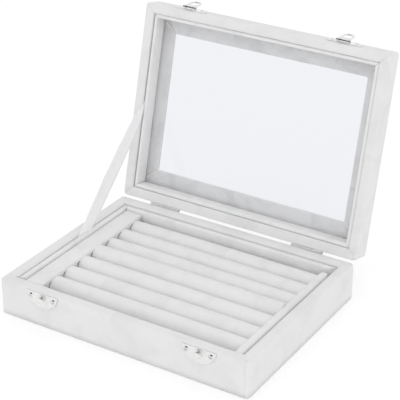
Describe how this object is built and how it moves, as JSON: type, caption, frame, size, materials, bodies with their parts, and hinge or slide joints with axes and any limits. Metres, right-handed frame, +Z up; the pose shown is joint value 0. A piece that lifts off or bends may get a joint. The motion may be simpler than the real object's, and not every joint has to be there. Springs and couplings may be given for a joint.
{
  "type": "ring display box",
  "caption": "Velvet ring display box, open: tray of padded ring rolls, hinged lid with a glass window, front latches and a ribbon stay.",
  "frame": {"origin": "middle of the base's underside, on the surface that the box stands on", "axes": "+X to the box's right, +Y from its latches to its hinges, +Z up"},
  "size_m": [0.2, 0.2063, 0.179],
  "materials": {
    "velvet": "white velvet over board",
    "roll_velvet": "white velvet over foam",
    "foam": "matt open foam",
    "fibreboard": "raw fibreboard",
    "satin": "white satin ribbon",
    "glass": "clear",
    "plated_steel": "bright nickel plate"
  },
  "bodies": {
    "base": {"base_bottom_cover": "velvet", "base_floor_board": "fibreboard", "base_front_board": "fibreboard", "base_back_board": "fibreboard", "base_left_board": "fibreboard", "base_right_board": "fibreboard", "base_velvet_wrap": "velvet", "base_liner_front": "velvet", "base_liner_back": "velvet", "base_liner_left": "velvet", "base_liner_right": "velvet", "roll_pad_board": "velvet", "tray_rail_left": "velvet", "tray_rail_right": "velvet", "ring_roll_1": "roll_velvet", "ring_roll_2": "roll_velvet", "ring_roll_3": "roll_velvet", "ring_roll_4": "roll_velvet", "ring_roll_5": "roll_velvet", "ring_roll_6": "roll_velvet", "ring_roll_7": "roll_velvet", "roll_core_1": "foam", "roll_core_2": "foam", "roll_core_3": "foam", "roll_core_4": "foam", "roll_core_5": "foam", "roll_core_6": "foam", "roll_core_7": "foam", "hinge_left_base_leaf": "plated_steel", "hinge_right_base_leaf": "plated_steel", "hinge_left_pin": "plated_steel", "hinge_right_pin": "plated_steel", "hinge_base_screws": "plated_steel", "catch_left": "plated_steel", "catch_right": "plated_steel", "catch_screws": "plated_steel", "stay_ribbon": "satin"},
    "lid": {"lid_front_board": "fibreboard", "lid_back_board": "fibreboard", "lid_left_board": "fibreboard", "lid_right_board": "fibreboard", "lid_window_frame": "velvet", "lid_velvet_wrap": "velvet", "lid_glass": "glass", "lid_liner_front": "velvet", "lid_liner_back": "velvet", "lid_liner_left": "velvet", "lid_liner_right": "velvet", "hinge_left_lid_leaf": "plated_steel", "hinge_right_lid_leaf": "plated_steel", "hinge_lid_screws": "plated_steel", "latch_left_plate": "plated_steel", "latch_right_plate": "plated_steel", "latch_left_pin": "plated_steel", "latch_right_pin": "plated_steel", "latch_screws": "plated_steel"},
    "latch_left": {"latch_left_tongue": "plated_steel"},
    "latch_right": {"latch_right_tongue": "plated_steel"}
  },
  "joints": [
    {"name": "lid_hinge", "type": "hinge", "parent": "base", "child": "lid", "pos_m": [0, 0.0758, 0.0282], "axis": [1, 0, 0], "range_deg": [0, 103.7], "deforming": ["stay_ribbon"]},
    {"name": "latch_left_hinge", "type": "hinge", "parent": "lid", "child": "latch_left", "pos_m": [-0.063, 0.11383, 0.1762], "axis": [1, 0, 0], "range_deg": [0, 155]},
    {"name": "latch_right_hinge", "type": "hinge", "parent": "lid", "child": "latch_right", "pos_m": [0.063, 0.11383, 0.1762], "axis": [1, 0, 0], "range_deg": [0, 155]}
  ]
}
